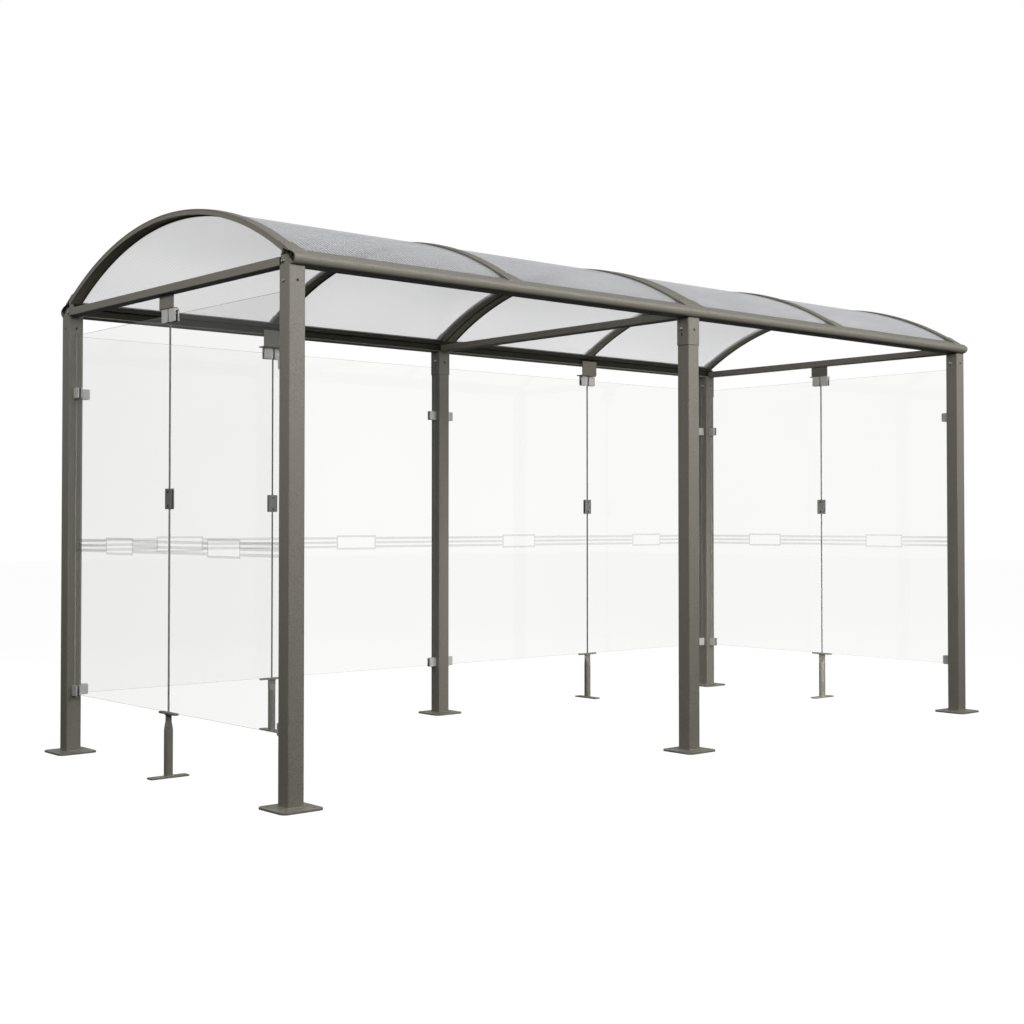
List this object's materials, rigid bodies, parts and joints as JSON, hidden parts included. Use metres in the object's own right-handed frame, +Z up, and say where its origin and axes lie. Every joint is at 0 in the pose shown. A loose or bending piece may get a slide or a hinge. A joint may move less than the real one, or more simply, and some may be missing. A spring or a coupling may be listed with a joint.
{
  "type": "bike shelter",
  "caption": "Open-fronted bike shelter: square posts on base plates, rounded eave beams, arched ribs with twin-wall roof sheets, glass panes on the ends and the back",
  "frame": {"origin": "on the ground, at the centre of the plan of the six posts' base plates", "axes": "+X along the length, +Y towards the glazed back, -Y towards the open front, +Z up"},
  "size_m": [5.21, 2.316, 2.6665],
  "materials": {
    "powder_coat": "fine-textured warm grey-brown powder coat",
    "cast_caps": "powder-coated castings",
    "twin_wall_sheet": "clear twin-wall polycarbonate, fluted from front to back",
    "glass": "clear toughened glass with pale printed sight lines",
    "clamp_steel": "satin stainless steel"
  },
  "bodies": {
    "root": {"post_front_left": "powder_coat", "post_front_middle": "powder_coat", "post_front_right": "powder_coat", "post_back_left": "powder_coat", "post_back_middle": "powder_coat", "post_back_right": "powder_coat", "post_sleeves": "powder_coat", "eave_beam_front": "powder_coat", "eave_beam_back": "powder_coat", "cross_beam_left": "powder_coat", "cross_beam_middle": "powder_coat", "cross_beam_right": "powder_coat", "roof_rib_left_end": "powder_coat", "roof_rib_left": "powder_coat", "roof_rib_middle": "powder_coat", "roof_rib_right": "powder_coat", "roof_rib_right_end": "powder_coat", "stand_left": "powder_coat", "stand_back_left": "powder_coat", "stand_back_right": "powder_coat", "stand_right": "powder_coat", "hanger_left": "powder_coat", "hanger_back_left": "powder_coat", "hanger_back_right": "powder_coat", "hanger_right": "powder_coat", "joint_plates": "powder_coat", "eave_caps_left": "cast_caps", "eave_caps_right": "cast_caps", "roof_sheet_1": "twin_wall_sheet", "roof_sheet_2": "twin_wall_sheet", "roof_sheet_3": "twin_wall_sheet", "roof_sheet_4": "twin_wall_sheet", "glass_left_front": "glass", "glass_left_back": "glass", "glass_right_front": "glass", "glass_right_back": "glass", "glass_back_1": "glass", "glass_back_2": "glass", "glass_back_3": "glass", "glass_back_4": "glass", "edge_clamps_left": "clamp_steel", "edge_clamps_back": "clamp_steel", "edge_clamps_right": "clamp_steel", "top_clamps": "clamp_steel"}
  },
  "joints": []
}
